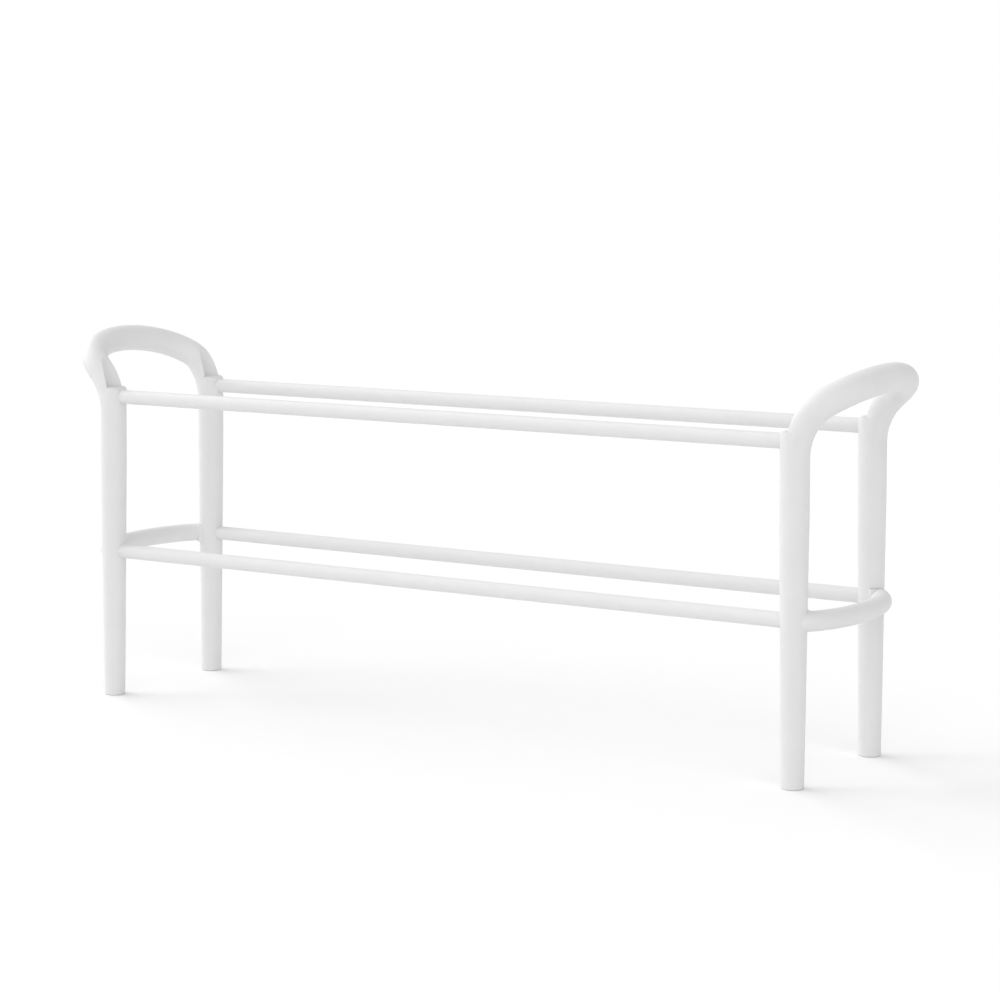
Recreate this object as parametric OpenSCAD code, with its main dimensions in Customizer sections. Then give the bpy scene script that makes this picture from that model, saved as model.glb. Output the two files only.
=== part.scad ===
// Garden bench frame: four turned legs, two bent arm hoops and two end bows of
// timber, two seat rails and two stretchers of steel tube, all painted white.
// Millimetres. The origin is the centre of the footprint on the ground,
// +X runs along the bench, -Y is the front and +Z is up.

/* [Bench] */
// Distance between leg centres along the bench
leg_span = 1064; // [900:4:1300]
// Distance between leg centres, front to back
leg_depth = 219; // [200:1:260]
// Height of the flat ledge on top of each leg, which carries the seat
ledge_z = 435; // [400:1:480]

/* [Legs] */
// Diameter of a leg above its taper
leg_d = 36.5; // [35:0.5:40]
// Diameter of a leg at the ground
foot_d = 29; // [28:0.5:33]
// Height at which the taper of a leg ends
taper_top = 335; // [300:5:360]
// Radius that rounds the inner edge of the ledge
ledge_round = 8; // [4:0.5:9]

/* [Arms] */
// Radius of the outward bend at the bottom of an arm
arm_bend_r = 81; // [75:1:90]
// Lean of the top of an arm, measured from upright
arm_lean = 55; // [50:1:60]
// Height of the hoop, measured along the leaning surface
arm_rise = 63; // [58:1:70]
// Lean of the scoop cut into the foot of an arm, measured from upright
scoop_lean = 13; // [8:1:16]

/* [Rails, stretchers and bows] */
// Diameter of the two rails below the seat
rail_d = 19.5; // [18:0.5:21]
// Diameter of the two stretchers
stretcher_d = 19.5; // [18:0.5:21]
// Diameter of the bow at each end
bow_d = 25; // [22:0.5:26]
// How far the middle of a bow stands out from the leg centres
bow_reach = 42; // [38:1:50]
// Height of the stretchers and bows
stretcher_z = 204; // [170:1:240]

/* [Hidden] */
$fn = 64;
half_span = leg_span / 2;
half_depth = leg_depth / 2;
leg_r = leg_d / 2;
foot_r = foot_d / 2;
rail_z = ledge_z - 13.5;        // leaves a 4 mm lip above the rail
bend_z = ledge_z - 33.5;        // the outward bend of an arm starts here
fit_gap = 0.05;                 // radial clearance of a glued joint
tenon_end = 4;                  // a tube stops this far short of the leg centre
tube_wall = 2;

// foot glide: a nylon button let into the end of the leg
glide_d = 22;
glide_t = 4;
glide_proud = 0.3;
foot_chamfer = 0.5;
nail_d = 2;
nail_head_d = 5;
nail_head_t = 1;
nail_len = 16;

// dowel between leg and arm, leaning outward with the grain of the arm
arm_dowel_d = 10;
arm_dowel_x = 15.5;
arm_dowel_lean = 24;
arm_dowel_down = 22;
arm_dowel_up = 24;

// flat seat cut into the outer side of a leg for the end of a bow
seat_turn = 20;                 // direction that the seat faces, from +X
seat_depth = 6;                 // distance from the leg centre to the seat
shadow_gap = 0.3;               // height of the gap above the inner half of the bow's end
shadow_width = 13;
corner_round = 9;               // radius of the bow's inner corner at the leg
corner_reach = 3.5;             // the flat-topped corner ends this far from the leg

// dowel between leg and bow, lying flat
bow_dowel_d = 8;
bow_dowel_turn = 25;
bow_dowel_in = 5;
bow_dowel_out = 14;

dowel_chamfer = 1;
end_play = 0.5;                 // free length at each end of a dowel hole

// scoop cut into the inner side of an arm's foot, to clear the seat
scoop_r = 20;
scoop_x = 5.5;                  // deepest point of the scoop at the ledge
scoop_tool = 60;                // size of the cutter, larger than the arm
foot_step = 1;                  // the foot of an arm is let into the leg by this much
dome_x = 12;                    // centre of the large circle that rounds the ledge

arm_start = 20;                 // the sweep starts below the ledge, then is cut
arm_sides = 32;
arm_steps = 64;
foot_steps = 8;
bow_sides = 24;
bow_steps = 56;
cut = 200;                      // size of a cutting block

paint = [0.93, 0.93, 0.92];
beech = [0.82, 0.68, 0.50];
nylon = [0.86, 0.86, 0.85];
zinc = [0.70, 0.71, 0.72];

// Everything at a corner is drawn for the front right leg, with the leg
// centre at the local origin, and mirrored to the other three corners.
module at_corner(side, row) {
  flip_x = side == "left" ? 1 : 0;
  flip_y = row == "rear" ? 1 : 0;
  mirror([flip_x, 0, 0])
    mirror([0, flip_y, 0])
      translate([half_span, -half_depth, 0]) children();
}

// ---- curves -------------------------------------------------------------

bend_len = arm_bend_r * arm_lean * PI / 180;
bend_end_x = arm_bend_r * (1 - cos(arm_lean));
bend_end_z = arm_bend_r * sin(arm_lean);
hoop_start = bend_len - 17;     // the hoop begins just before the bend ends

// Lean of the arm surface at a distance s along it from the start of the bend
function lean_at(s) = min(arm_lean, s / arm_bend_r * 180 / PI);

// Point of the arm surface at that distance, at depth y
function arm_point(s, y) =
  s < bend_len
    ? [arm_bend_r * (1 - cos(lean_at(s))), y, bend_z + arm_bend_r * sin(lean_at(s))]
    : [bend_end_x + (s - bend_len) * sin(arm_lean), y,
       bend_z + bend_end_z + (s - bend_len) * cos(arm_lean)];

// Distance along the surface and depth for every station of the hoop
arm_stations = concat(
  [for (i = [0:foot_steps - 1])
    [arm_start + (hoop_start - arm_start) * i / foot_steps, -half_depth]],
  [for (i = [0:arm_steps])
    [hoop_start + arm_rise * sin(180 * i / arm_steps), -half_depth * cos(180 * i / arm_steps)]],
  [for (i = [foot_steps - 1:-1:0])
    [arm_start + (hoop_start - arm_start) * i / foot_steps, half_depth]]);

arm_path = [for (p = arm_stations) arm_point(p[0], p[1])];
arm_normals = [for (p = arm_stations) [cos(lean_at(p[0])), 0, -sin(lean_at(p[0]))]];

bow_path = [for (i = [0:bow_steps])
  [bow_reach * sin(180 * i / bow_steps), -half_depth * cos(180 * i / bow_steps), stretcher_z]];
bow_normals = [for (p = bow_path) [0, 0, 1]];

function unit(v) = v / norm(v);
function heading(path, i) =
  unit(path[min(i + 1, len(path) - 1)] - path[max(i - 1, 0)]);
function square_to(n, t) = unit(n - (n * t) * t);

// Round bar of radius r along a path; the normals keep it from twisting
module bar_along(path, normals, r, sides) {
  rings = len(path);
  points = [for (i = [0:rings - 1])
    let (t = heading(path, i), n = square_to(normals[i], t), b = cross(t, n))
    for (k = [0:sides - 1])
      path[i] + r * cos(360 * k / sides) * n + r * sin(360 * k / sides) * b];
  walls = [for (i = [0:rings - 2]) for (k = [0:sides - 1])
    let (a = i * sides + k, b = i * sides + (k + 1) % sides)
    for (f = [[a, a + sides, b], [b, a + sides, b + sides]]) f];
  caps = [[for (k = [0:sides - 1]) k],
          [for (k = [sides - 1:-1:0]) (rings - 1) * sides + k]];
  polyhedron(points, concat(walls, caps), convexity = 6);
}

// ---- joinery ------------------------------------------------------------

module tube(d, length) {
  translate([-length / 2, 0, 0]) rotate([0, 90, 0]) difference() {
    cylinder(h = length, d = d);
    translate([0, 0, -1]) cylinder(h = length + 2, d = d - 2 * tube_wall);
  }
}

module dowel(d, length) {
  cylinder(h = dowel_chamfer, d1 = d - 2 * dowel_chamfer, d2 = d);
  translate([0, 0, dowel_chamfer]) cylinder(h = length - 2 * dowel_chamfer, d = d);
  translate([0, 0, length - dowel_chamfer])
    cylinder(h = dowel_chamfer, d1 = d, d2 = d - 2 * dowel_chamfer);
}

module arm_dowel_at_leg() {
  translate([arm_dowel_x, 0, ledge_z]) rotate([0, arm_dowel_lean, 0])
    translate([0, 0, -arm_dowel_down]) children();
}

module arm_dowel_hole() {
  arm_dowel_at_leg() translate([0, 0, -end_play])
    cylinder(h = arm_dowel_down + arm_dowel_up + 2 * end_play, d = arm_dowel_d + 2 * fit_gap);
}

module bow_dowel_at_leg() {
  translate([0, 0, stretcher_z]) rotate([0, 0, bow_dowel_turn])
    rotate([0, 90, 0]) translate([0, 0, seat_depth - bow_dowel_in]) children();
}

module bow_dowel_hole() {
  bow_dowel_at_leg() translate([0, 0, -end_play])
    cylinder(h = bow_dowel_in + bow_dowel_out + 2 * end_play, d = bow_dowel_d + 2 * fit_gap);
}

// Everything from the seat outward, between two heights
module beyond_seat(low, high) {
  rotate([0, 0, seat_turn]) translate([seat_depth, -leg_d, low])
    cube([leg_d, 2 * leg_d, high - low]);
}

leg_r_at_bow = foot_r + (leg_r - foot_r) * stretcher_z / taper_top;
bow_low = stretcher_z - bow_d / 2;
bow_high = stretcher_z + bow_d / 2;

// ---- legs ---------------------------------------------------------------

module leg_taper() {
  cylinder(h = taper_top, r1 = foot_r, r2 = leg_r);
}

// Lowest slice of a leg, with a small chamfer round its end
module leg_end() {
  shoulder_r = foot_r + (leg_r - foot_r) * (glide_proud + foot_chamfer) / taper_top;
  translate([0, 0, glide_proud])
    cylinder(h = foot_chamfer, r1 = shoulder_r - foot_chamfer, r2 = shoulder_r);
}

// Start of the arm's outward bend, which the leg shares up to its ledge
module leg_bend() {
  bend_turn = asin((ledge_z - bend_z) / arm_bend_r) + 14;
  translate([arm_bend_r, 0, bend_z]) rotate([90, 0, 0]) mirror([1, 0, 0])
    rotate_extrude(angle = bend_turn) translate([arm_bend_r, 0]) circle(r = leg_r);
}

// Everything below the ledge; its inner edge is rounded along a large circle
module ledge_form() {
  form_r = leg_r + dome_x;
  form_h = ledge_z - bend_z;
  translate([dome_x, 0, bend_z]) {
    cylinder(h = form_h, r = form_r - ledge_round);
    cylinder(h = form_h - ledge_round, r = form_r);
    translate([0, 0, form_h - ledge_round]) rotate_extrude()
      translate([form_r - ledge_round, 0]) circle(r = ledge_round);
  }
}

// Plan of the scoop at the ledge, open towards the seat
module scoop_outline() {
  translate([scoop_x - scoop_r, 0]) {
    circle(r = scoop_r);
    translate([-scoop_tool, -scoop_r]) square([scoop_tool, 2 * scoop_r]);
  }
}

// Shallow recess in the leg top for the foot of the arm
module foot_recess() {
  translate([0, 0, ledge_z - foot_step]) linear_extrude(height = 2 * foot_step) difference() {
    square(4 * leg_d, center = true);
    scoop_outline();
  }
}

module leg_solid() {
  shoulder = glide_proud + foot_chamfer;
  leg_end();
  difference() {
    leg_taper();
    translate([-leg_d, -leg_d, -leg_d + shoulder]) cube([2 * leg_d, 2 * leg_d, leg_d]);
  }
  translate([0, 0, taper_top]) cylinder(h = bend_z - taper_top, r = leg_r);
  difference() {
    intersection() {
      union() {
        translate([0, 0, bend_z]) cylinder(h = ledge_z - bend_z, r = leg_r);
        leg_bend();
      }
      ledge_form();
    }
    foot_recess();
  }
}

// Sockets for a rail and a stretcher open on the inner side of the leg
module tube_socket(z, d) {
  translate([-leg_d, 0, z]) rotate([0, 90, 0])
    cylinder(h = leg_d - tenon_end + end_play, d = d + 2 * fit_gap);
}

module leg() {
  difference() {
    leg_solid();
    translate([0, 0, -1]) cylinder(h = 1 + glide_t + fit_gap, d = glide_d + 2 * fit_gap);
    cylinder(h = glide_t + nail_len, d = nail_d + 2 * fit_gap);
    tube_socket(rail_z, rail_d);
    tube_socket(stretcher_z, stretcher_d);
    beyond_seat(bow_low, bow_high);
    rotate([0, 0, seat_turn]) translate([seat_depth, 0, bow_high])
      cube([leg_d, shadow_width, shadow_gap]);
    arm_dowel_hole();
    bow_dowel_hole();
  }
}

// ---- arms ---------------------------------------------------------------

// Cutter for the scoop: upright within the recess, leaning outward above it
module scoop_cutter() {
  translate([0, 0, ledge_z - 2 * foot_step]) linear_extrude(height = 2 * foot_step) scoop_outline();
  intersection() {
    translate([0, 0, ledge_z - 2 * foot_step]) rotate([0, scoop_lean, 0])
      translate([0, 0, -scoop_tool]) linear_extrude(height = 3 * scoop_tool) scoop_outline();
    translate([-2 * scoop_tool, -scoop_tool, ledge_z])
      cube([4 * scoop_tool, 2 * scoop_tool, 2 * scoop_tool]);
  }
}

module arm() {
  difference() {
    translate([half_span, 0, 0]) bar_along(arm_path, arm_normals, leg_r, arm_sides);
    translate([half_span - cut / 2, -cut, ledge_z - foot_step - cut]) cube([cut, 2 * cut, cut]);
    for (row = ["front", "rear"]) at_corner("right", row) {
      scoop_cutter();
      arm_dowel_hole();
    }
  }
}

// ---- tubes, bows and feet -----------------------------------------------

module seat_rail() {
  translate([0, 0, rail_z]) tube(rail_d, leg_span - 2 * tenon_end);
}

module stretcher() {
  translate([0, 0, stretcher_z]) tube(stretcher_d, leg_span - 2 * tenon_end);
}

// Plan of the bow, seen from the leg at its front end
function bow_edge(side) = [for (i = [0:bow_steps])
  let (t = heading(bow_path, i))
  [bow_path[i][0] - side * t[1] * bow_d / 2, bow_path[i][1] + half_depth + side * t[0] * bow_d / 2]];

module bow_plan() {
  inner = bow_edge(1);
  outer = bow_edge(-1);
  polygon(concat(inner, [for (i = [bow_steps:-1:0]) outer[i]]));
}

// Flat-topped end of a bow: it fills the seat out to the leg surface, and its
// inner corner runs into the side of the bow in one curve
module bow_end_block() {
  intersection() {
    union() {
      leg_taper();
      translate([0, 0, bow_low]) linear_extrude(height = bow_d) intersection() {
        offset(r = -corner_round) offset(delta = corner_round) {
          circle(r = leg_r_at_bow);
          bow_plan();
        }
        circle(r = leg_r_at_bow + corner_reach);
        rotate(seat_turn) square(2 * leg_r);
      }
    }
    beyond_seat(bow_low, bow_high);
  }
}

module end_bow() {
  difference() {
    union() {
      difference() {
        translate([half_span, 0, 0]) bar_along(bow_path, bow_normals, bow_d / 2, bow_sides);
        for (row = ["front", "rear"]) at_corner("right", row) rotate([0, 0, seat_turn])
          translate([seat_depth - bow_d, -bow_d, bow_low - 1]) cube([bow_d, 2 * bow_d, bow_d + 2]);
      }
      for (row = ["front", "rear"]) at_corner("right", row) bow_end_block();
    }
    for (row = ["front", "rear"]) at_corner("right", row) bow_dowel_hole();
  }
}

module foot_glide() {
  difference() {
    cylinder(h = glide_t, d = glide_d);
    translate([0, 0, -1]) cylinder(h = 1 + nail_head_t + glide_proud, d = nail_head_d + 2 * fit_gap);
    cylinder(h = glide_t + 1, d = nail_d + 2 * fit_gap);
  }
}

module glide_nail() {
  translate([0, 0, glide_proud]) cylinder(h = nail_head_t, d = nail_head_d);
  translate([0, 0, glide_proud]) cylinder(h = nail_len, d = nail_d);
}

// ---- named pieces -------------------------------------------------------

module leg_front_left() { color(paint) at_corner("left", "front") leg(); }
module leg_front_right() { color(paint) at_corner("right", "front") leg(); }
module leg_rear_left() { color(paint) at_corner("left", "rear") leg(); }
module leg_rear_right() { color(paint) at_corner("right", "rear") leg(); }

module arm_left() { color(paint) mirror([1, 0, 0]) arm(); }
module arm_right() { color(paint) arm(); }

module seat_rail_front() { color(paint) translate([0, -half_depth, 0]) seat_rail(); }
module seat_rail_rear() { color(paint) translate([0, half_depth, 0]) seat_rail(); }
module stretcher_front() { color(paint) translate([0, -half_depth, 0]) stretcher(); }
module stretcher_rear() { color(paint) translate([0, half_depth, 0]) stretcher(); }

module end_bow_left() { color(paint) mirror([1, 0, 0]) end_bow(); }
module end_bow_right() { color(paint) end_bow(); }

module arm_dowel(side, row) {
  color(beech) at_corner(side, row) arm_dowel_at_leg()
    dowel(arm_dowel_d, arm_dowel_down + arm_dowel_up);
}

module bow_dowel(side, row) {
  color(beech) at_corner(side, row) bow_dowel_at_leg()
    dowel(bow_dowel_d, bow_dowel_in + bow_dowel_out);
}

module glide(side, row) { color(nylon) at_corner(side, row) foot_glide(); }

module glide_nails() {
  color(zinc) for (side = ["left", "right"], row = ["front", "rear"])
    at_corner(side, row) glide_nail();
}

leg_front_left();
leg_front_right();
leg_rear_left();
leg_rear_right();
arm_left();
arm_right();
seat_rail_front();
seat_rail_rear();
stretcher_front();
stretcher_rear();
end_bow_left();
end_bow_right();
arm_dowel("left", "front");  // arm_dowel_front_left
arm_dowel("right", "front");  // arm_dowel_front_right
arm_dowel("left", "rear");  // arm_dowel_rear_left
arm_dowel("right", "rear");  // arm_dowel_rear_right
bow_dowel("left", "front");  // bow_dowel_front_left
bow_dowel("right", "front");  // bow_dowel_front_right
bow_dowel("left", "rear");  // bow_dowel_rear_left
bow_dowel("right", "rear");  // bow_dowel_rear_right
glide("left", "front");  // foot_glide_front_left
glide("right", "front");  // foot_glide_front_right
glide("left", "rear");  // foot_glide_rear_left
glide("right", "rear");  // foot_glide_rear_right
glide_nails();
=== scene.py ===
"""Garden bench frame: white painted timber legs, arms and bows on painted steel tubes."""

import math

import bmesh
import bpy
from mathutils import Matrix, Vector


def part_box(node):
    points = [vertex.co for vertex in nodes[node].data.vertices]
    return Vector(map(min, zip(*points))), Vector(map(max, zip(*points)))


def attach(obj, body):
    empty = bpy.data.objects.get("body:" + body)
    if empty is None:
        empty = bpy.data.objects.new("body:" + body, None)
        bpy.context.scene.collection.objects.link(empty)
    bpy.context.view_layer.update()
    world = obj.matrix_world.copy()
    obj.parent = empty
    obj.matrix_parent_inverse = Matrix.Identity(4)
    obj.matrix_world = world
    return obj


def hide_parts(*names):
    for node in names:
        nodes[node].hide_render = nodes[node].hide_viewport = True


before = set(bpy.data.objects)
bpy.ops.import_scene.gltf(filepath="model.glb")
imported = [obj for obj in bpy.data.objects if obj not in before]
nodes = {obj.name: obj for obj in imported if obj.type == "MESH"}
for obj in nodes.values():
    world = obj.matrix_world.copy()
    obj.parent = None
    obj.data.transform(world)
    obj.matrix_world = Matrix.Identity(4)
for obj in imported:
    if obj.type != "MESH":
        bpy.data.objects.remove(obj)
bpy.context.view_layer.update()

# ---- sizes, in metres ------------------------------------------------------

SIDES = ("left", "right")
ROWS = ("front", "rear")

LEG_LOW, LEG_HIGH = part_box("leg_front_right")
GLIDE_LOW, GLIDE_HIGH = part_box("foot_glide_front_right")

# A glide is centred on its leg's axis; a leg's own box is not, as its top bends outward
HALF_SPAN = (GLIDE_LOW.x + GLIDE_HIGH.x) / 2
HALF_DEPTH = -(GLIDE_LOW.y + GLIDE_HIGH.y) / 2
LEG_R = (LEG_HIGH.y - LEG_LOW.y) / 2
LEDGE_Z = LEG_HIGH.z

BEND_DROP = 0.0335              # the outward bend of an arm starts this far under the ledge
BEND_Z = LEDGE_Z - BEND_DROP
BEND_R = 0.081
LEAN = math.radians(55)         # lean of the top of an arm, from upright
RISE = 0.063                    # height of the hoop along the leaning surface
HOOP_EARLY = 0.017              # the hoop begins this far before the bend ends
ARM_START = 0.020               # the sweep starts below the foot, then is cut
FOOT_STEP = 0.001               # the foot of an arm is let into the leg

SCOOP_R = 0.020                 # scoop cut into the inner side of an arm's foot
SCOOP_X = 0.0055                # its deepest point at the ledge
SCOOP_LEAN = math.radians(13)
LEAN_DROP = 2 * FOOT_STEP       # the scoop's wall starts to lean this far under the ledge
EDGE_SOFT = 0.0012              # softness of the edge round that scoop

ARM_SIDES = 128
FOOT_STATIONS = 60
HOOP_STATIONS = 260
SHARP = math.radians(22)        # edges that turn more than this stay crisp
FLAT_WEIGHT = 80                # pull of large faces on the shading; 50 is neutral
SAME_POINT = 1e-7               # corners closer than this are one; more opens the bows

# ---- camera ----------------------------------------------------------------

CAMERA_AT = (2.0466, -3.1490, 0.7854)
CAMERA_TURN = 32.489
CAMERA_DROP = 3.294
CAMERA_ROLL = 0.145
CAMERA_LENS = 101.63
CAMERA_SHIFT = -0.2


def make_camera():
    data = bpy.data.cameras.new("camera")
    data.lens = CAMERA_LENS
    data.shift_y = CAMERA_SHIFT
    camera = bpy.data.objects.new("camera", data)
    turn = Matrix.Rotation(math.radians(CAMERA_TURN), 4, "Z")
    drop = Matrix.Rotation(math.radians(90 - CAMERA_DROP), 4, "X")
    roll = Matrix.Rotation(math.radians(CAMERA_ROLL), 4, "Z")
    camera.matrix_world = Matrix.Translation(CAMERA_AT) @ turn @ drop @ roll
    bpy.context.scene.collection.objects.link(camera)
    bpy.context.scene.camera = camera


# ---- materials -------------------------------------------------------------

RAMP_LOW, RAMP_HIGH = 0.3, 0.7  # most of a noise's values lie between these
NYLON_IOR = 1.53


class Finish:
    """A Principled material with shared coordinates and a few kinds of detail."""

    def __init__(self, name):
        self.material = bpy.data.materials.new(name)
        self.material.use_nodes = True
        self.tree = self.material.node_tree
        self.shader = self.tree.nodes["Principled BSDF"]
        self.coords = self.tree.nodes.new("ShaderNodeTexCoord")
        self.normal = None

    def stretched(self, scale):
        mapping = self.tree.nodes.new("ShaderNodeMapping")
        mapping.inputs["Scale"].default_value = scale
        self.tree.links.new(self.coords.outputs["Object"], mapping.inputs["Vector"])
        return mapping.outputs["Vector"]

    def noise(self, scale, detail=3, stretch=(1, 1, 1)):
        noise = self.tree.nodes.new("ShaderNodeTexNoise")
        noise.inputs["Scale"].default_value = scale
        noise.inputs["Detail"].default_value = detail
        self.tree.links.new(self.stretched(stretch), noise.inputs["Vector"])
        return noise.outputs["Fac"]

    def cells(self, scale):
        cells = self.tree.nodes.new("ShaderNodeTexVoronoi")
        cells.inputs["Scale"].default_value = scale
        self.tree.links.new(self.stretched((1, 1, 1)), cells.inputs["Vector"])
        return cells.outputs["Distance"]

    def tones(self, value, dark, light):
        ramp = self.tree.nodes.new("ShaderNodeValToRGB")
        ramp.color_ramp.elements[0].position = RAMP_LOW
        ramp.color_ramp.elements[0].color = (*dark, 1)
        ramp.color_ramp.elements[1].position = RAMP_HIGH
        ramp.color_ramp.elements[1].color = (*light, 1)
        self.tree.links.new(value, ramp.inputs["Fac"])
        self.tree.links.new(ramp.outputs["Color"], self.shader.inputs["Base Color"])

    def roughness(self, value, low, high):
        spread = self.tree.nodes.new("ShaderNodeMapRange")
        spread.inputs["To Min"].default_value = low
        spread.inputs["To Max"].default_value = high
        self.tree.links.new(value, spread.inputs["Value"])
        self.tree.links.new(spread.outputs["Result"], self.shader.inputs["Roughness"])

    def bump(self, height, distance, strength=1.0):
        bump = self.tree.nodes.new("ShaderNodeBump")
        bump.inputs["Strength"].default_value = strength
        bump.inputs["Distance"].default_value = distance
        self.tree.links.new(height, bump.inputs["Height"])
        if self.normal:
            self.tree.links.new(self.normal, bump.inputs["Normal"])
        self.normal = bump.outputs["Normal"]
        self.tree.links.new(self.normal, self.shader.inputs["Normal"])


WHITE = 0.705                   # how much light the white paint returns


def near_white(factor):
    return (WHITE * factor,) * 3


def brushed_paint(name, grain):
    """Satin paint on timber: faint grain showing through, and brush texture."""
    finish = Finish(name)
    finish.tones(finish.noise(28, 4), near_white(0.985), near_white(1.01))
    finish.roughness(finish.noise(120, 3), 0.42, 0.56)
    finish.bump(finish.noise(9, 4, grain), 0.00010)
    finish.bump(finish.noise(650, 2), 0.00003)
    return finish.material


def powder_coat():
    """Powder coat on steel tube: even colour with a fine orange peel."""
    finish = Finish("powder_coat")
    finish.tones(finish.noise(45, 2), near_white(0.995), near_white(1.012))
    finish.roughness(finish.noise(200, 2), 0.38, 0.48)
    finish.bump(finish.noise(700, 2), 0.00004)
    return finish.material


def moulded_nylon():
    finish = Finish("moulded_nylon")
    finish.tones(finish.noise(300, 3), (0.70, 0.70, 0.68), (0.74, 0.74, 0.72))
    finish.roughness(finish.noise(500, 2), 0.45, 0.6)
    finish.bump(finish.noise(1800, 2), 0.00002)
    finish.shader.inputs["IOR"].default_value = NYLON_IOR
    return finish.material


def zinc_plate():
    finish = Finish("zinc_plate")
    finish.tones(finish.cells(1500), (0.52, 0.53, 0.55), (0.64, 0.65, 0.67))
    finish.roughness(finish.noise(1200, 2), 0.28, 0.42)
    finish.bump(finish.noise(2500, 2), 0.00001)
    finish.shader.inputs["Metallic"].default_value = 1
    return finish.material


def bare_beech():
    finish = Finish("bare_beech")
    finish.tones(finish.noise(60, 5, (1, 1, 9)), (0.50, 0.33, 0.19), (0.62, 0.45, 0.29))
    finish.roughness(finish.noise(300, 2), 0.55, 0.7)
    finish.bump(finish.noise(220, 3, (1, 1, 8)), 0.00006)
    return finish.material


# ---- mesh helpers ----------------------------------------------------------


def new_piece(name, bm, material, node):
    """Turns a bmesh into a smooth piece that stands for a CAD node."""
    for face in bm.faces:
        face.smooth = True
    for edge in bm.edges:
        edge.smooth = len(edge.link_faces) == 2 and edge.calc_face_angle() < SHARP
    mesh = bpy.data.meshes.new(name)
    bm.to_mesh(mesh)
    bm.free()
    mesh.materials.append(material)
    piece = bpy.data.objects.new(name, mesh)
    bpy.context.scene.collection.objects.link(piece)
    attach(piece, "root")
    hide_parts(node)
    return piece


def even_shading(piece):
    """Large flat faces set the normals, so cuts beside curves stay crisp."""
    weighted = piece.modifiers.new("even_shading", "WEIGHTED_NORMAL")
    weighted.keep_sharp = True
    weighted.weight = FLAT_WEIGHT


def cad_copy(node):
    """The CAD node's own shape as a welded bmesh, ready for finer work."""
    bm = bmesh.new()
    bm.from_mesh(nodes[node].data)
    bmesh.ops.remove_doubles(bm, verts=bm.verts, dist=SAME_POINT)
    return bm


def smooth_max(a, b, softness):
    """The larger of two lengths, rounded off where they are nearly equal."""
    gap = max(softness - abs(a - b), 0) / softness
    return max(a, b) + gap * gap * softness / 4


# ---- legs and bows ---------------------------------------------------------


def paint_as_drawn(node, material):
    """A piece in the CAD node's own shape, shaded smooth."""
    piece = new_piece(f"{node}_paint", cad_copy(node), material, node)
    even_shading(piece)


# ---- arms ------------------------------------------------------------------

BEND_LEN = BEND_R * LEAN
HOOP_START = BEND_LEN - HOOP_EARLY


def arm_point(s, y):
    """Point of the arm surface at a distance s from the start of the bend."""
    turned = min(LEAN, s / BEND_R)
    over = max(0, s - BEND_LEN)
    return Vector(
        (
            BEND_R * (1 - math.cos(turned)) + over * math.sin(LEAN),
            y,
            BEND_Z + BEND_R * math.sin(turned) + over * math.cos(LEAN),
        )
    )


def arm_stations():
    """Distance along the surface and depth, foot to foot."""
    foot = [
        ARM_START + (HOOP_START - ARM_START) * i / FOOT_STATIONS
        for i in range(FOOT_STATIONS)
    ]
    hoop = []
    for i in range(HOOP_STATIONS + 1):
        angle = math.pi * i / HOOP_STATIONS
        hoop.append((HOOP_START + RISE * math.sin(angle), -HALF_DEPTH * math.cos(angle)))
    return [(s, -HALF_DEPTH) for s in foot] + hoop + [(s, HALF_DEPTH) for s in foot[::-1]]


def scoop_at(y, z):
    """Where the scooped wall stands at a depth from the leg centre and a height."""
    rise = max(0, z - LEDGE_Z + LEAN_DROP)
    reach = SCOOP_X - SCOOP_R + math.sqrt(SCOOP_R**2 - y * y)
    return reach / math.cos(SCOOP_LEAN) + rise * math.tan(SCOOP_LEAN)


def make_arm(side, material):
    """A round bar swept along the arm, scooped at its feet and cut off level there."""
    stations = arm_stations()
    path = [arm_point(s, y) for s, y in stations]
    last = len(path) - 1
    bm = bmesh.new()
    rings = []
    for i, (s, y) in enumerate(stations):
        along = (path[min(i + 1, last)] - path[max(i - 1, 0)]).normalized()
        turned = min(LEAN, s / BEND_R)
        out = Vector((math.cos(turned), 0, -math.sin(turned)))
        out = (out - out.dot(along) * along).normalized()
        across = along.cross(out)
        ring = []
        for k in range(ARM_SIDES):
            angle = 2 * math.pi * k / ARM_SIDES
            point = path[i] + LEG_R * (math.cos(angle) * out + math.sin(angle) * across)
            off_centre = abs(point.y) - HALF_DEPTH
            if abs(off_centre) < SCOOP_R:
                scoop = scoop_at(off_centre, point.z)
                point.x = smooth_max(point.x, scoop, EDGE_SOFT)
            point.x += HALF_SPAN
            ring.append(bm.verts.new(point))
        rings.append(ring)
    for low, high in zip(rings, rings[1:]):
        for k in range(ARM_SIDES):
            n = (k + 1) % ARM_SIDES
            bm.faces.new((low[k], high[k], high[n], low[n]))
    bmesh.ops.bisect_plane(
        bm,
        geom=bm.verts[:] + bm.edges[:] + bm.faces[:],
        plane_co=(0, 0, LEDGE_Z - FOOT_STEP),
        plane_no=(0, 0, 1),
        clear_inner=True,
    )
    bmesh.ops.holes_fill(bm, edges=[e for e in bm.edges if e.is_boundary])
    if side == "left":
        bmesh.ops.scale(bm, vec=(-1, 1, 1), verts=bm.verts)
    bmesh.ops.recalc_face_normals(bm, faces=bm.faces)
    new_piece(f"arm_{side}_paint", bm, material, f"arm_{side}")


# ---- stage -----------------------------------------------------------------

FLOOR_HALF = 60                 # from the middle to each edge
FLOOR_WHITE = 0.9
FLOOR_ROUGHNESS = 0.9


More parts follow.
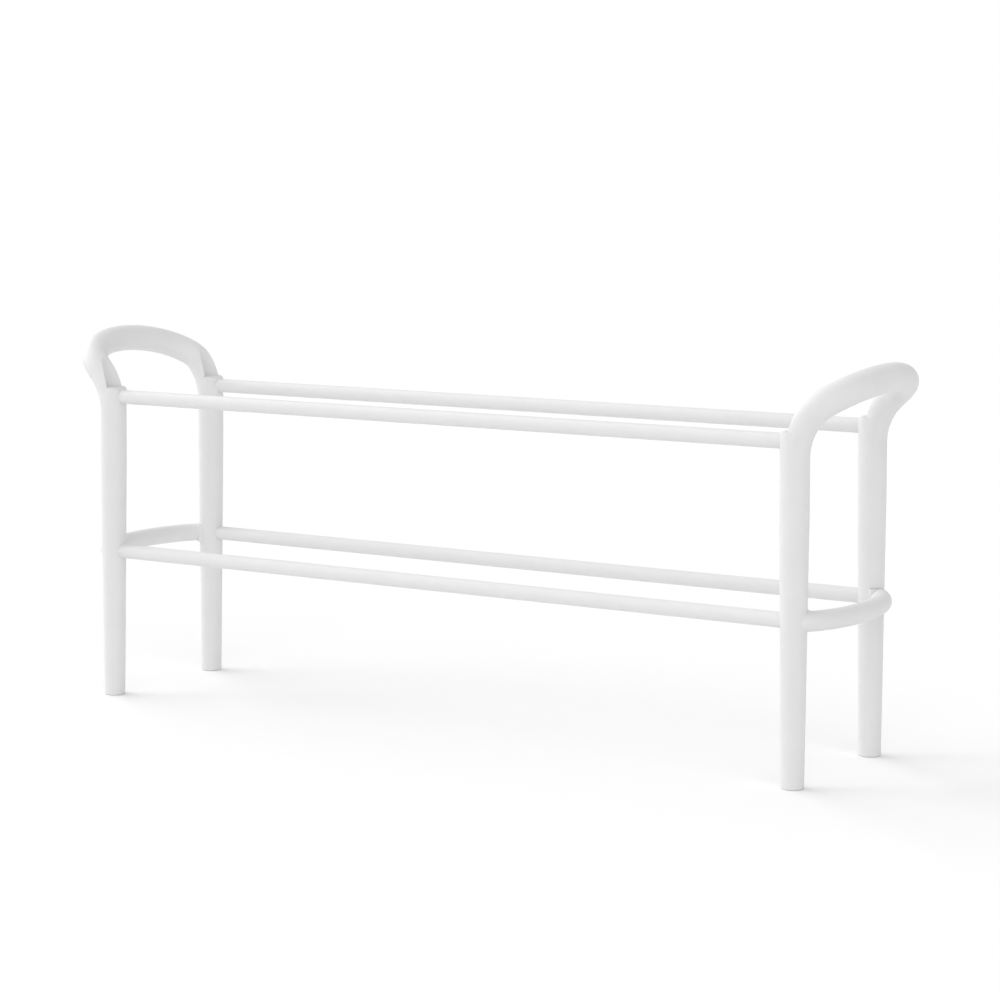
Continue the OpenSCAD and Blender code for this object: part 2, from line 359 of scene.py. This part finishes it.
def make_floor():
    mesh = bpy.data.meshes.new("floor")
    half = FLOOR_HALF
    corners = [(-half, -half, 0), (half, -half, 0), (half, half, 0), (-half, half, 0)]
    mesh.from_pydata(corners, [], [(0, 1, 2, 3)])
    floor = bpy.data.objects.new("floor", mesh)
    bpy.context.scene.collection.objects.link(floor)
    finish = Finish("floor_white")
    finish.tones(finish.noise(2), (FLOOR_WHITE,) * 3, (FLOOR_WHITE,) * 3)
    finish.shader.inputs["Roughness"].default_value = FLOOR_ROUGHNESS
    finish.shader.inputs["Specular IOR Level"].default_value = 0
    mesh.materials.append(finish.material)


WORLD = 0.60                    # light from all round
SOFT_SIZE = 70                  # degrees: every lamp is a wide soft box
# Turn from straight in front (right is positive), height and strength of each
SOFT_BOXES = [
    (-90, 25, 1.94),
    (-40, 25, 0.17),
    (40, 25, 0.91),
    (180, 30, 0.22),
    (-60, 55, 0.29),
]


def make_light():
    """Wide lamps and an even world; the camera itself sees the world as plain white."""
    world = bpy.data.worlds.new("studio")
    world.use_nodes = True
    tree = world.node_tree
    shown = tree.nodes["Background"]
    shown.inputs["Color"].default_value = (1, 1, 1, 1)
    shown.inputs["Strength"].default_value = 1.0
    lit = tree.nodes.new("ShaderNodeBackground")
    lit.inputs["Color"].default_value = (1, 1, 1, 1)
    lit.inputs["Strength"].default_value = WORLD
    rays = tree.nodes.new("ShaderNodeLightPath")
    mix = tree.nodes.new("ShaderNodeMixShader")
    tree.links.new(rays.outputs["Is Camera Ray"], mix.inputs[0])
    tree.links.new(lit.outputs[0], mix.inputs[1])
    tree.links.new(shown.outputs[0], mix.inputs[2])
    tree.links.new(mix.outputs[0], tree.nodes["World Output"].inputs["Surface"])
    bpy.context.scene.world = world
    for i, (turn, height, strength) in enumerate(SOFT_BOXES):
        data = bpy.data.lights.new(f"soft_{i}", "SUN")
        data.energy = strength
        data.angle = math.radians(SOFT_SIZE)
        lamp = bpy.data.objects.new(f"soft_{i}", data)
        tilt = Matrix.Rotation(math.radians(90 - height), 4, "X")
        lamp.matrix_world = Matrix.Rotation(math.radians(turn), 4, "Z") @ tilt
        bpy.context.scene.collection.objects.link(lamp)


# ---- the scene -------------------------------------------------------------

bpy.context.scene.view_settings.view_transform = "Standard"
make_camera()
make_floor()
make_light()

upright_paint = brushed_paint("upright_paint", (45, 45, 2))
bent_paint = brushed_paint("bent_paint", (45, 3, 45))
finishes = {
    "seat_rail": powder_coat(),
    "foot_glide": moulded_nylon(),
    "glide_nails": zinc_plate(),
    "arm_dowel": bare_beech(),
}
finishes["stretcher"] = finishes["seat_rail"]
finishes["bow_dowel"] = finishes["arm_dowel"]

for side in SIDES:
    make_arm(side, bent_paint)
    paint_as_drawn(f"end_bow_{side}", bent_paint)
    for row in ROWS:
        paint_as_drawn(f"leg_{row}_{side}", upright_paint)

for node, item in nodes.items():
    for family, material in finishes.items():
        if node.startswith(family):
            for i in range(len(item.data.materials)):
                item.data.materials[i] = material
